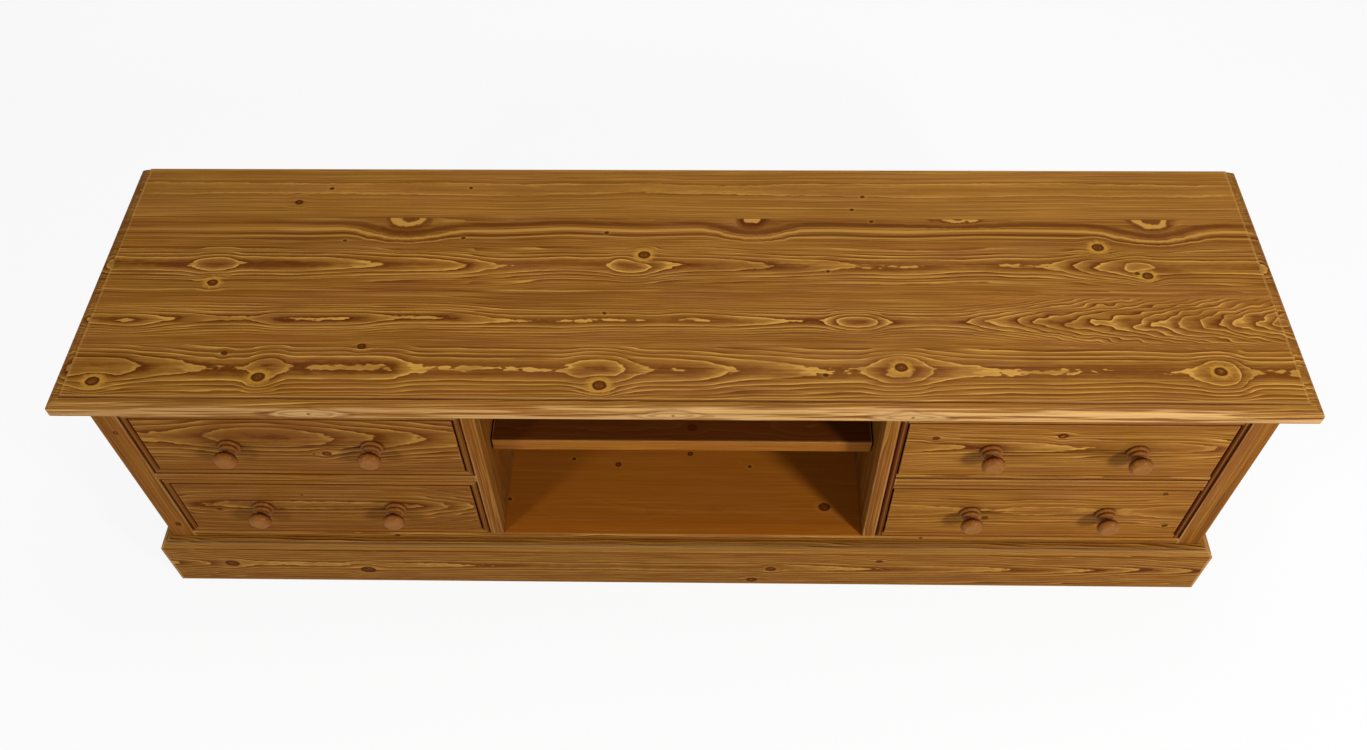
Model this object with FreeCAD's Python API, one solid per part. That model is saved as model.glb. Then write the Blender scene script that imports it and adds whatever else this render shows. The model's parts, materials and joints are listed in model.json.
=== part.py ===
import FreeCAD, Part
import os

from FreeCAD import Matrix, Vector

# Television cabinet in waxed pine: two stacks of two drawers beside an open bay with a shelf.
# Frame: X to the right, Y to the back, Z up. The origin is on the floor, at the middle of the
# box that holds the whole cabinet with its knobs. All lengths are in millimetres.

# Overall sizes
cabinet_width = 1600.0
top_depth = 430.0
cabinet_height = 480.0

# Top board and its moulded edge
top_thickness = 25.0
top_overhang = 27.0
top_moulding_width = 15.0
top_quirk_depth = 2.0
top_slope_drop = 3.2
top_nose_width = 5.0
top_nose_drop = 8.0
top_lower_round = 5.0

# Plinth boards and their moulded top edge
plinth_height = 105.0
plinth_thickness = 18.0
plinth_moulding_width = 10.0
plinth_moulding_height = 10.0
plinth_quirk_depth = 2.0

# Face frame
frame_thickness = 20.0
outer_stile_width = 34.0
inner_stile_width = 18.0
bay_width = 537.0
top_rail_height = 30.0
drawer_rail_height = 14.0
bottom_rail_height = 50.0
bottom_rail_reveal = 14.0
arris_round = 1.5

# Beading round the drawer openings: a rounded bead beside a sunk quirk
bead_width = 8.0
bead_round = 2.5
quirk_width = 3.0
quirk_below_round = 0.6

# Carcass boards
side_thickness = 20.0
floor_thickness = 18.0
floor_housing_depth = 6.0
rear_rail_thickness = 20.0
rear_rail_height = 40.0
back_thickness = 9.0
back_rebate_width = 10.0
back_floor_gap = 30.0
back_board_count = 15
back_board_chamfer = 2.0
cable_slot_height = 60.0

# Shelf on four pins
shelf_thickness = 24.0
shelf_setback = 45.0
shelf_above_middle = 4.0
shelf_back_gap = 0.5
shelf_end_clearance = 0.3
shelf_round = 2.0
pin_radius = 3.5
pin_depth = 12.0
pin_reach = 9.0
pin_inset = 40.0
pin_collar_radius = 5.0
pin_collar_thickness = 1.2
pin_clearance = 0.1

# Drawers
drawer_gap = 2.0
drawer_rear_clearance = 22.0
drawer_front_thickness = 20.0
drawer_front_round = 1.5
drawer_side_thickness = 12.0
drawer_side_headroom = 16.0
drawer_back_thickness = 12.0
drawer_bottom_thickness = 6.0
drawer_groove_depth = 5.0
drawer_groove_height = 10.0
drawer_lap = 8.0
tail_count = 3
tail_tip_share = 0.72
tail_root_share = 0.52

# Drawer runners
running_clearance = 0.3
bearer_overlap = 12.0
guide_height = 22.0

# Turned knobs and their screws
knob_radius = 15.8
knob_projection = 30.0
knob_spacing = 194.0
screw_radius = 2.0
screw_head_radius = 4.2
screw_head_length = 2.6
screw_grip = 15.0
screw_tip_length = 4.0
screw_slot_width = 1.0
screw_slot_depth = 1.1
screw_clearance = 0.2

# Outline of a knob from the middle of its face to its base: distance from the drawer as a
# share of its projection, radius as a share of its radius, and the bulge of the next stretch
# as a share of that stretch's own length
knob_outline_shares = [
    (0.985, 0.00, -0.02),
    (1.000, 0.50, 0.16),
    (0.930, 0.86, 0.12),
    (0.765, 1.00, 0.12),
    (0.600, 0.84, 0.10),
    (0.520, 0.47, -0.22),
    (0.370, 0.66, 0.28),
    (0.205, 0.74, 0.00),
    (0.190, 0.68, 0.00),
    (0.172, 0.84, 0.24),
    (0.000, 0.90, 0.00),
    (0.000, 0.00, 0.00),
]

# Glue blocks under the top, placed along the width of the body
block_length = 45.0
block_size = 20.0
block_place_shares = [-0.42, -0.25, 0.0, 0.25, 0.42]

# Bulges of the moulded edges, as shares of each stretch's length
round_bulge_share = 0.207
slope_bulge_share = 0.05

# How far cutting shapes run past what they cut, and how closely an edge's place is matched
overrun = 5.0
match = 0.001
full_turn = 360

# Places from front to back
knob_reach = max(knob_projection - top_overhang, 0.0)
back_y = (top_depth + knob_reach) / 2
top_front_y = back_y - top_depth
front_y = top_front_y + top_overhang
frame_back_y = front_y + frame_thickness
back_inside_y = back_y - back_thickness
rear_rail_y = back_inside_y - rear_rail_thickness
drawer_rear_y = back_inside_y - drawer_rear_clearance

# Places from side to side, measured from the middle
body_half = cabinet_width / 2 - top_overhang
side_inside_x = body_half - side_thickness
stile_inside_x = body_half - outer_stile_width
bay_half = bay_width / 2
inner_stile_x = bay_half + inner_stile_width
strip_width = bead_width + quirk_width
opening_inner_x = inner_stile_x + strip_width
opening_outer_x = stile_inside_x - strip_width
opening_middle_x = (opening_inner_x + opening_outer_x) / 2

# Places from bottom to top
top_underside_z = cabinet_height - top_thickness
floor_z = plinth_height + bottom_rail_reveal
floor_underside_z = floor_z - floor_thickness
top_rail_z = top_underside_z - top_rail_height
opening_height = (top_rail_z - floor_z - drawer_rail_height - 4 * strip_width) / 2
lower_opening_z = floor_z + strip_width
drawer_rail_z = lower_opening_z + opening_height + strip_width
drawer_rail_top_z = drawer_rail_z + drawer_rail_height
upper_opening_z = drawer_rail_top_z + strip_width
shelf_z = (floor_z + top_underside_z - shelf_thickness) / 2 + shelf_above_middle

right = Vector(1, 0, 0)
left = Vector(-1, 0, 0)
front = Vector(0, -1, 0)
back = Vector(0, 1, 0)
down = Vector(0, 0, -1)
up = Vector(0, 0, 1)

parts = {}


# Shared shapes
def box(x0, x1, y0, y1, z0, z1):
    # The two ends along X may come in either order, so that one call serves both sides.
    return Part.makeBox(abs(x1 - x0), y1 - y0, z1 - z0, Vector(min(x0, x1), y0, z0))


def outline_face(place, corners):
    # A corner is two flat coordinates and the bulge of the stretch after it, to the right of
    # the way that it runs; place turns flat coordinates into a point.
    edges = []
    for (u0, v0, bulge), (u1, v1, _) in zip(corners, corners[1:] + corners[:1]):
        start = place(u0, v0)
        end = place(u1, v1)
        if bulge:
            middle = place((u0 + u1) / 2 + bulge * (v1 - v0), (v0 + v1) / 2 - bulge * (u1 - u0))
            edges.append(Part.Arc(start, middle, end).toShape())
        else:
            edges.append(Part.LineSegment(start, end).toShape())
    return Part.Face(Part.Wire(edges))


def placed(shape, origin, along, across):
    # Turns the shape's own X to along and its own Y to across, and moves it to origin.
    out = along.cross(across)
    shape.Placement = FreeCAD.Placement(Matrix(
        along.x, across.x, out.x, origin.x,
        along.y, across.y, out.y, origin.y,
        along.z, across.z, out.z, origin.z,
        0, 0, 0, 1))
    return shape


def moulded_strip(section, width, height, length, start_slope, end_slope):
    # A strip along its own X, with its ends cut to a slope: 1 for a mitre that shortens it
    # away from its edge at Y zero, -1 for a mitre that lengthens it, and 0 for a square end.
    reach = width + overrun
    profile = outline_face(lambda u, v: Vector(-reach, u, v), section)
    bar = profile.extrude(right * (length + 2 * reach))
    near = -overrun
    far = width + overrun
    ends = outline_face(lambda u, v: Vector(u, v, -overrun), [
        (start_slope * near, near, 0),
        (length - end_slope * near, near, 0),
        (length - end_slope * far, far, 0),
        (start_slope * far, far, 0),
    ])
    return bar.common(ends.extrude(up * (height + 2 * overrun)))


def rounded(shape, radius, wanted):
    # Rounds each edge whose two ends both pass the wanted test.
    edges = [edge for edge in shape.Edges if all(wanted(end.Point) for end in edge.Vertexes)]
    return shape.makeFillet(radius, edges)


def at(value, place):
    return abs(value - place) < match


def turned(centre, start_y, outline):
    # A solid of revolution about a line that runs to the front from start_y: an outline of
    # distance and radius.
    face = outline_face(lambda u, v: Vector(centre.x + v, start_y - u, centre.z), outline)
    return face.revolve(Vector(centre.x, start_y, centre.z), back, full_turn)


# Top board
def top_edge_cutter(place, run):
    # What the moulding takes off an edge, from distances inward of it and over the underside
    return outline_face(place, [
        (top_moulding_width, top_thickness + overrun, 0),
        (top_moulding_width, top_thickness - top_quirk_depth, slope_bulge_share),
        (top_nose_width, top_thickness - top_slope_drop, round_bulge_share),
        (0, top_thickness - top_nose_drop, 0),
        (0, top_lower_round, round_bulge_share),
        (top_lower_round, 0, 0),
        (top_lower_round, -overrun, 0),
        (-overrun, -overrun, 0),
        (-overrun, top_thickness + overrun, 0),
    ]).extrude(run)


def make_top():
    half = cabinet_width / 2
    board = box(-half, half, top_front_y, back_y, top_underside_z, cabinet_height)
    start_x = -half - overrun
    start_y = top_front_y - overrun
    run_x = right * (cabinet_width + 2 * overrun)
    run_y = back * (top_depth + 2 * overrun)
    base = top_underside_z
    cutters = [
        top_edge_cutter(lambda u, v: Vector(start_x, top_front_y + u, base + v), run_x),
        top_edge_cutter(lambda u, v: Vector(-half + u, start_y, base + v), run_y),
        top_edge_cutter(lambda u, v: Vector(half - u, start_y, base + v), run_y),
    ]
    for cutter in cutters:
        board = board.cut(cutter)
    return board


parts["top_panel"] = make_top()


# Plinth: three boards round the foot of the body, mitred at the front corners
def plinth_board(length, start_slope, end_slope):
    face_x = plinth_thickness
    section = [
        (0, 0, 0),
        (face_x, 0, 0),
        (face_x, plinth_height - plinth_moulding_height, round_bulge_share),
        (face_x - plinth_moulding_width, plinth_height - plinth_quirk_depth, 0),
        (face_x - plinth_moulding_width, plinth_height, 0),
        (0, plinth_height, 0),
    ]
    return moulded_strip(section, face_x, plinth_height, length, start_slope, end_slope)


def make_plinth():
    side_length = back_y - front_y
    boards = {
        "plinth_front": (2 * body_half, -1, -1, Vector(body_half, front_y, 0), left, front),
        "plinth_right": (side_length, 0, -1, Vector(body_half, back_y, 0), front, right),
        "plinth_left": (side_length, -1, 0, Vector(-body_half, front_y, 0), back, left),
    }
    for name, (length, start_slope, end_slope, origin, along, across) in boards.items():
        parts[name] = placed(plinth_board(length, start_slope, end_slope), origin, along, across)


make_plinth()


# Beading strips, flush with the face frame
def bead_strip(length, mitre):
    face = frame_thickness
    quirk_z = face - bead_round - quirk_below_round
    section = [
        (0, 0, 0),
        (strip_width, 0, 0),
        (strip_width, face - bead_round, round_bulge_share),
        (strip_width - bead_round, face, 0),
        (quirk_width + bead_round, face, round_bulge_share),
        (quirk_width, face - bead_round, 0),
        (quirk_width, quirk_z, 0),
        (0, quirk_z, 0),
    ]
    return moulded_strip(section, strip_width, face, length, mitre, mitre)


def bead_ring(x0, x1, z0, z1):
    # Four mitred strips just inside a rectangle of the frame
    sides = [
        (x1 - x0, Vector(x0, frame_back_y, z0), right, up),
        (z1 - z0, Vector(x1, frame_back_y, z0), up, left),
        (x1 - x0, Vector(x1, frame_back_y, z1), left, down),
        (z1 - z0, Vector(x0, frame_back_y, z1), down, right),
    ]
    return [placed(bead_strip(length, 1), origin, along, across)
            for length, origin, along, across in sides]


def make_beading():
    # The left stack has a ring round each drawer. On the right stack one ring goes round both
    # drawers, and two square-ended strips follow the drawer rail.
    left_x = (-stile_inside_x, -inner_stile_x)
    parts["beading_upper_left"] = bead_ring(*left_x, drawer_rail_top_z, top_rail_z)
    parts["beading_lower_left"] = bead_ring(*left_x, floor_z, drawer_rail_z)
    rail_length = opening_outer_x - opening_inner_x
    over_rail = Vector(opening_inner_x, frame_back_y, drawer_rail_top_z)
    under_rail = Vector(opening_outer_x, frame_back_y, drawer_rail_z)
    parts["beading_right"] = bead_ring(inner_stile_x, stile_inside_x, floor_z, top_rail_z) + [
        placed(bead_strip(rail_length, 0), over_rail, right, up),
        placed(bead_strip(rail_length, 0), under_rail, left, down),
    ]


make_beading()


# Face frame
def make_frame():
    for side, name in ((-1, "left"), (1, "right")):
        stile = box(side * stile_inside_x, side * body_half, front_y, frame_back_y, 0, top_underside_z)
        parts["stile_outer_" + name] = rounded(
            stile, arris_round, lambda p: at(p.y, front_y) and at(p.x, side * body_half))
        stile = box(side * bay_half, side * inner_stile_x, front_y, frame_back_y, floor_z, top_rail_z)
        parts["stile_inner_" + name] = rounded(
            stile, arris_round, lambda p: at(p.y, front_y) and at(p.x, side * bay_half))
    half = stile_inside_x
    parts["top_rail"] = box(-half, half, front_y, frame_back_y, top_rail_z, top_underside_z)
    rail = box(-half, half, front_y, frame_back_y, floor_z - bottom_rail_height, floor_z)
    parts["bottom_rail"] = rounded(
        rail, arris_round, lambda p: at(p.y, front_y) and at(p.z, floor_z))
    rail_z = (drawer_rail_z, drawer_rail_top_z)
    parts["drawer_rail_left"] = box(
        -stile_inside_x, -inner_stile_x, front_y, frame_back_y, *rail_z)
    parts["drawer_rail_right"] = box(
        opening_inner_x, opening_outer_x, front_y, frame_back_y, *rail_z)


make_frame()


# Carcass
def make_floor():
    half = side_inside_x + floor_housing_depth
    return box(-half, half, frame_back_y, back_inside_y, floor_underside_z, floor_z)


def make_back_boards():
    # Upright boards edge to edge, chamfered at the back. The middle one is cut away over the
    # floor of the bay, which leaves a slot for cables.
    half = side_inside_x + back_rebate_width
    pitch = 2 * half / back_board_count
    slot_top_z = floor_z + cable_slot_height
    boards = []
    for index in range(back_board_count):
        x0 = -half + index * pitch
        spans = [(back_floor_gap, top_underside_z)]
        if index == back_board_count // 2:
            spans = [(back_floor_gap, floor_z), (slot_top_z, top_underside_z)]
        for z0, z1 in spans:
            board = box(x0, x0 + pitch, back_inside_y, back_y, z0, z1)
            edges = [edge for edge in board.Edges if all(
                at(end.Point.y, back_y) for end in edge.Vertexes)
                and not at(edge.Vertexes[0].Point.z, edge.Vertexes[1].Point.z)]
            boards.append(board.makeChamfer(back_board_chamfer, edges))
    return boards


def make_carcass():
    floor = make_floor()
    half = side_inside_x
    rear_rail = box(
        -half, half, rear_rail_y, back_inside_y, top_underside_z - rear_rail_height, top_underside_z)
    parts["bottom_panel"] = floor
    parts["rear_top_rail"] = rear_rail
    parts["rear_foot_rail"] = box(-half, half, rear_rail_y, back_inside_y, 0, floor_underside_z)
    parts["back_boards"] = make_back_boards()
    for side, name in ((-1, "left"), (1, "right")):
        panel = box(side * side_inside_x, side * body_half, frame_back_y, back_y, 0, top_underside_z)
        rebate_x = side_inside_x + back_rebate_width
        rebate = box(side * (side_inside_x - overrun), side * rebate_x,
                     back_inside_y, back_y + overrun, back_floor_gap, top_underside_z + overrun)
        parts["side_" + name] = panel.cut(floor).cut(rebate)
        partition = box(side * bay_half, side * inner_stile_x,
                        frame_back_y, back_inside_y, floor_z, top_underside_z)
        parts["partition_" + name] = partition.cut(rear_rail)


def make_glue_blocks():
    blocks = []
    for share in block_place_shares:
        middle = share * 2 * body_half
        for y0 in (frame_back_y, rear_rail_y - block_size):
            blocks.append(box(middle - block_length / 2, middle + block_length / 2,
                              y0, y0 + block_size, top_underside_z - block_size, top_underside_z))
    return blocks


make_carcass()
parts["glue_blocks"] = make_glue_blocks()


# Shelf and its pins
def shelf_pin(side, y):
    # A round pin half in the partition, with a collar against its face
    base = Vector(side * (bay_half + pin_depth), y, shelf_z - pin_radius)
    pin = Part.makeCylinder(pin_radius, pin_depth + pin_reach, base, left * side)
    collar_base = Vector(side * bay_half, base.y, base.z)
    collar = Part.makeCylinder(pin_collar_radius, pin_collar_thickness, collar_base, left * side)
    return pin.fuse(collar).removeSplitter()


def make_shelf():
    half = bay_half - pin_collar_thickness - shelf_end_clearance
    shelf_front_y = front_y + shelf_setback
    shelf_rear_y = back_inside_y - shelf_back_gap
    board = box(-half, half, shelf_front_y, shelf_rear_y, shelf_z, shelf_z + shelf_thickness)
    parts["shelf"] = rounded(board, shelf_round, lambda p: at(p.y, shelf_front_y))
    pins = []
    for side, name in ((-1, "left"), (1, "right")):
        for y in (shelf_front_y + pin_inset, shelf_rear_y - pin_inset):
            pins.append(shelf_pin(side, y))
            hole_base = Vector(side * (bay_half - overrun), y, shelf_z - pin_radius)
            hole = Part.makeCylinder(
                pin_radius + pin_clearance, overrun + pin_depth + pin_clearance, hole_base, right * side)
            parts["partition_" + name] = parts["partition_" + name].cut(hole)
    parts["shelf_pins"] = pins


make_shelf()


# Drawer runners: a bearer under each drawer side and a guide beside it
def make_runners():
    bearers = []
    guides = []
    levels = ((floor_z, lower_opening_z), (drawer_rail_z, upper_opening_z))
    for side in (-1, 1):
        for wall_x, guide_x, bearer_x in (
                (side_inside_x, opening_outer_x, opening_outer_x - bearer_overlap),
                (inner_stile_x, opening_inner_x, opening_inner_x + bearer_overlap)):
            for z0, z1 in levels:
                bearers.append(box(side * wall_x, side * bearer_x, frame_back_y, back_inside_y, z0, z1))
                guides.append(box(side * wall_x, side * guide_x,
                                  frame_back_y, back_inside_y, z1, z1 + guide_height))
    parts["drawer_bearers"] = bearers
    parts["drawer_guides"] = guides


make_runners()


# Drawers
def knob_screw(centre, inside_y):
    # From the inside of the drawer front, through it and into the knob
    length = drawer_front_thickness + screw_grip
    screw = turned(centre, inside_y, [
        (length, 0, 0),
        (length - screw_tip_length, screw_radius, 0),
        (screw_head_length, screw_radius, 0),
        (0, screw_head_radius, 0),
        (0, 0, 0),
    ])
    slot_half = screw_slot_width / 2
    reach = screw_head_radius + overrun
    slot = box(centre.x - reach, centre.x + reach, inside_y - screw_slot_depth, inside_y + overrun,
               centre.z - slot_half, centre.z + slot_half)
    return screw.cut(slot)


def screw_hole(centre, inside_y):
    shank = screw_radius + screw_clearance
    head = screw_head_radius + screw_clearance
    length = drawer_front_thickness + screw_grip + screw_clearance
    return turned(centre, inside_y, [
        (length, 0, 0),
        (length, shank, 0),
        (screw_head_length, shank, 0),
        (0, head, 0),
        (-overrun, head, 0),
        (-overrun, 0, 0),
    ])


def make_knob(centre):
    outline = [(distance * knob_projection, radius * knob_radius, bulge)
               for distance, radius, bulge in knob_outline_shares]
    return turned(centre, front_y, outline)


def drawer_side(x0, x1, z0, z1, inside_y):
    # A board with dovetails that lap into the drawer front
    board = box(x0, x1, inside_y, drawer_rear_y, z0, z1)
    pitch = (z1 - z0) / tail_count
    tip_y = inside_y - (drawer_front_thickness - drawer_lap)
    for index in range(tail_count):
        middle = z0 + (index + 1 / 2) * pitch
        root = pitch * tail_root_share / 2
        tip = pitch * tail_tip_share / 2
        tail = outline_face(lambda u, v: Vector(min(x0, x1), u, v), [
            (inside_y, middle - root, 0),
            (inside_y, middle + root, 0),
            (tip_y, middle + tip, 0),
            (tip_y, middle - tip, 0),
        ]).extrude(right * abs(x1 - x0))
        board = board.fuse(tail)
    return board.removeSplitter()


def make_drawer(name, side, opening_z):
    # side is -1 for the left stack and 1 for the right one.
    x0, x1 = sorted((side * opening_inner_x, side * opening_outer_x))
    x0 += drawer_gap
    x1 -= drawer_gap
    inside_y = front_y + drawer_front_thickness
    side_z = opening_z + running_clearance
    side_top_z = opening_z + opening_height - drawer_side_headroom
    inner_x0 = x0 + drawer_side_thickness
    inner_x1 = x1 - drawer_side_thickness
    bottom_z = side_z + drawer_groove_height
    bottom_top_z = bottom_z + drawer_bottom_thickness
    bottom = box(inner_x0 - drawer_groove_depth, inner_x1 + drawer_groove_depth,
                 inside_y - drawer_groove_depth, drawer_rear_y, bottom_z, bottom_top_z)
    side_left = drawer_side(x0, inner_x0, side_z, side_top_z, inside_y)
    side_right = drawer_side(inner_x1, x1, side_z, side_top_z, inside_y)
    front_board = box(x0, x1, front_y, inside_y,
                      opening_z + drawer_gap, opening_z + opening_height - drawer_gap)
    front_board = rounded(front_board, drawer_front_round, lambda p: at(p.y, front_y))
    front_board = front_board.cut(side_left).cut(side_right).cut(bottom)
    screws = []
    for knob_side, knob_name in ((-1, "left"), (1, "right")):
        centre = Vector(side * opening_middle_x + knob_side * knob_spacing / 2, front_y,
                        opening_z + opening_height / 2)
        hole = screw_hole(centre, inside_y)
        front_board = front_board.cut(hole)
        parts[name + "_knob_" + knob_name] = make_knob(centre).cut(hole)
        screws.append(knob_screw(centre, inside_y))
    parts[name + "_front"] = front_board
    parts[name + "_side_left"] = side_left.cut(bottom)
    parts[name + "_side_right"] = side_right.cut(bottom)
    parts[name + "_back"] = box(inner_x0, inner_x1, drawer_rear_y - drawer_back_thickness,
                                drawer_rear_y, bottom_top_z, side_top_z)
    parts[name + "_bottom"] = bottom
    parts[name + "_knob_screws"] = screws


for stack_side, stack_name in ((-1, "left"), (1, "right")):
    make_drawer("drawer_upper_" + stack_name, stack_side, upper_opening_z)
    make_drawer("drawer_lower_" + stack_name, stack_side, lower_opening_z)


# One file for each piece
os.makedirs("parts", exist_ok=True)
for part_name, shape in parts.items():
    if isinstance(shape, list):
        shape = Part.makeCompound(shape)
    shape.exportStep("parts/" + part_name + ".step")
    bounds = shape.BoundBox
    print(part_name, len(shape.Solids), shape.isValid(), round(shape.Volume),
          [round(value, 1) for value in (bounds.XMin, bounds.XMax, bounds.YMin, bounds.YMax,
                                         bounds.ZMin, bounds.ZMax)])
print(len(parts), "parts")
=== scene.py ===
import json
import math
import random
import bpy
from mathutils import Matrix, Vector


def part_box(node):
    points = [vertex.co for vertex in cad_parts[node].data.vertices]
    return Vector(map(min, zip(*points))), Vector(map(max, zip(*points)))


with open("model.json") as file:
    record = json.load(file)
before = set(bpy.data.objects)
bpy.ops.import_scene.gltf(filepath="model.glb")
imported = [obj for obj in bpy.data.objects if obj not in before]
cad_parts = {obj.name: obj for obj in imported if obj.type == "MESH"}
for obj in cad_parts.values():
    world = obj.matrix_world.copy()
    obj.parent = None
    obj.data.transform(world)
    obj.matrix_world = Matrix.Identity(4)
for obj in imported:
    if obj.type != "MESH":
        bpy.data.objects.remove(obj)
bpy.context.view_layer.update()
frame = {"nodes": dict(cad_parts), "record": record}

from types import SimpleNamespace

import bpy
from mathutils import Euler, Vector

# Pine television cabinet, stained honey brown and waxed. Lengths in the wood plans are in
# millimetres, everything that Blender gets is in metres.
toMillimetres = 1000.0
print("frame loaded:", len(frame["nodes"]), "pieces")


class Wire:  # a socket of a material, so that shader maths reads as plain sums
    def __init__(self, tree, socket=None):
        self.tree = tree
        self.socket = socket

    def node(self, kind, settings, sockets, out=0):
        made = self.tree.nodes.new("ShaderNode" + kind)
        for name, value in settings.items():
            if name == "curve":
                fillCurve(made.mapping, value)
            else:
                setattr(made, name, value)
        for name, value in sockets.items():
            if isinstance(value, Wire):
                self.tree.links.new(value.socket, made.inputs[name])
            else:
                made.inputs[name].default_value = value
        return Wire(self.tree, made.outputs[out] if made.outputs else None)

    def output(self, name):  # another output of the node that this socket belongs to
        return Wire(self.tree, self.socket.node.outputs[name])

    def maths(self, operation, *values):
        return self.node("Math", {"operation": operation}, dict(enumerate(values)))

    def __add__(self, other):
        return self.maths("ADD", self, other)

    def __sub__(self, other):
        return self.maths("SUBTRACT", self, other)

    def __rsub__(self, other):
        return self.maths("SUBTRACT", other, self)

    def __mul__(self, other):
        return self.maths("MULTIPLY", self, other)

    def __truediv__(self, other):
        return self.maths("DIVIDE", self, other)

    def __gt__(self, other):
        return self.maths("GREATER_THAN", self, other)

    __radd__ = __add__
    __rmul__ = __mul__

    def floor(self):
        return self.maths("FLOOR", self)

    def root(self):
        return self.maths("SQRT", self)

    def away(self):
        return self.maths("ABSOLUTE", self)

    def least(self, other):
        return self.maths("MINIMUM", self, other)

    def smooth(self, low, high):  # 0 at low and 1 at high, which may be the smaller one
        return self.node("MapRange", {"interpolation_type": "SMOOTHSTEP"},
                         {"Value": self, "From Min": low, "From Max": high})

    def line(self, at, half):  # 1 on a soft line at this place, 0 past its half width
        return (self - at).away().smooth(half, half * 0.3)

    def blend(self, first, second, share):  # the first colour at share 0, the second at 1
        return self.node("Mix", {"data_type": "RGBA"}, {0: share, 6: first, 7: second}, out=2)

    def mix(self, other, share):
        return self.blend(self, other, share)

    def axes(self):
        parts = self.node("SeparateXYZ", {}, {0: self})
        return [parts.output(axis) for axis in "XYZ"]

    def point(self, *values):
        return self.node("CombineXYZ", {}, dict(enumerate(values)))

    def stretch(self, *scales):
        return self.node("VectorMath", {"operation": "MULTIPLY"}, {0: self, 1: scales})

    def distance(self, place):
        return self.node("VectorMath", {"operation": "DISTANCE"}, {0: self, 1: place}, out=1)

    def noise(self, length, width, detail):  # about 0 to 1, in patches of this length and width
        return self.node("TexNoise", {}, {"Vector": self.stretch(1 / length, 1 / width, 1 / width),
                                          "Scale": 1.0, "Detail": detail})

    def noiseAlong(self, detail):
        return self.node("TexNoise", {"noise_dimensions": "1D"},
                         {"W": self, "Scale": 1.0, "Detail": detail})

    def lot(self):  # a random number from 0 to 1 for each whole number
        return self.node("TexWhiteNoise", {"noise_dimensions": "1D"}, {"W": self})


def fillCurve(mapping, points):
    curve = mapping.curves[0]
    while len(curve.points) < len(points):
        curve.points.new(1.0, 1.0)
    for point, place in zip(curve.points, points):
        point.location = place
    mapping.update()


def colour(red, green, blue):  # a screen colour of 0 to 255 as Blender's linear one
    shares = [value / 255 for value in (red, green, blue)]
    linear = [share / 12.92 if share <= 0.04045 else ((share + 0.055) / 1.055) ** 2.4
              for share in shares]
    return (*linear, 1.0)


def startMaterial(name):
    material = bpy.data.materials.new(name)
    material.use_nodes = True
    material.node_tree.nodes.clear()
    return material, Wire(material.node_tree)


def endMaterial(start, shade, roughness, height, bump, constants):
    normal = start.node("Bump", {}, {"Strength": bump["strength"], "Distance": bump["distance"],
                                     "Height": height})
    shader = start.node("BsdfPrincipled", {}, {"Base Color": shade, "Roughness": roughness,
                                               "Normal": normal, **constants})
    start.node("OutputMaterial", {}, {"Surface": shader})


def crevices(start, reach):  # 1 deep in a quirk or a gap, 0 on open wood
    return start.node("AmbientOcclusion", {"samples": 4}, {"Distance": reach}, out=1).smooth(0.8, 0.3)


def arrises(start, reach):  # 1 along an outer edge, 0 on open wood
    return start.node("AmbientOcclusion", {"samples": 4, "inside": True},
                      {"Distance": reach}, out=1).smooth(0.92, 0.5)


# The stained and waxed pine. Stain sinks into the soft early wood, so each growth ring is
# darkest where it starts and ends in a light line of late wood.
waxedPine = {
    "middle": colour(142, 88, 28),
    "light": colour(199, 148, 66),
    "dark": colour(94, 46, 8),
    "blotch": colour(128, 78, 22),
    "knot": colour(88, 36, 3),
    "knotCore": colour(50, 16, 0),
    "halo": colour(192, 138, 50),
    "eye": colour(198, 146, 66),
    "end": colour(98, 50, 12),
    "stain": colour(72, 26, 6),
    # crevice: quirks and gaps are darkened with it, partly as stain and partly as painted shade
    "crevice": colour(70, 26, 4),
    "amber": colour(170, 94, 20),
    "ruddy": colour(138, 80, 44),
    "paleWearAndHighlight": colour(220, 174, 110),
    "paleEdgeShare": 0.5,
    "paleEdgeReach": 0.0032,
    "creviceReach": 0.004,
    "creviceShare": 0.85,
    "roughness": 0.5,
    "bump": {"strength": 0.3, "distance": 0.00025},
    "shine": {"Specular IOR Level": 0.018},
}
plainPine = {
    "middle": colour(206, 168, 112),
    "light": colour(222, 190, 138),
    "dark": colour(178, 130, 74),
    "blotch": colour(196, 154, 98),
    "knot": colour(146, 94, 54),
    "knotCore": colour(96, 56, 30),
    "halo": colour(200, 150, 88),
    "end": colour(172, 130, 80),
    "crevice": colour(110, 78, 46),
    "ruddy": colour(194, 150, 102),
    "paleWearAndHighlight": colour(216, 186, 136),
    "paleEdgeShare": 0.3,
    "paleEdgeReach": 0.003,
    "creviceReach": 0.006,
    "creviceShare": 0.7,
    "roughness": 0.62,
    "bump": {"strength": 0.3, "distance": 0.0003},
    "shine": {"Specular IOR Level": 0.2},
}
knobWood = {
    "middle": colour(142, 86, 32),
    "light": colour(174, 120, 54),
    "dark": colour(100, 50, 12),
    "blotch": colour(128, 74, 24),
    "end": colour(146, 92, 32),
    "crevice": colour(80, 28, 2),
    "ruddy": colour(138, 78, 36),
    "paleWearAndHighlight": colour(204, 152, 84),
    "paleEdgeShare": 0.3,
    "paleEdgeReach": 0.002,
    "creviceReach": 0.008,
    "creviceShare": 0.85,
    "roughness": 0.32,
    "bump": {"strength": 0.2, "distance": 0.00015},
    "shine": {"Specular IOR Level": 0.09},
}
# Beading pales little on its arrises (wear and painted highlight), and its quirks are darkened, partly as
# stain and partly as painted shade
beadWood = {**waxedPine, "paleEdgeShare": 0.1, "creviceReach": 0.006, "creviceShare": 0.95,
            "crevice": colour(104, 36, 4)}
# Drawer fronts are darkened round their edges, partly as stain and partly as painted shade; the floor of the
# bay gets no pale arrises
frontWood = {**waxedPine, "paleEdgeShare": 0.2, "creviceReach": 0.008, "creviceShare": 0.95,
             "crevice": colour(92, 34, 4)}
floorWood = {**waxedPine, "paleEdgeShare": 0.0}

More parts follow.
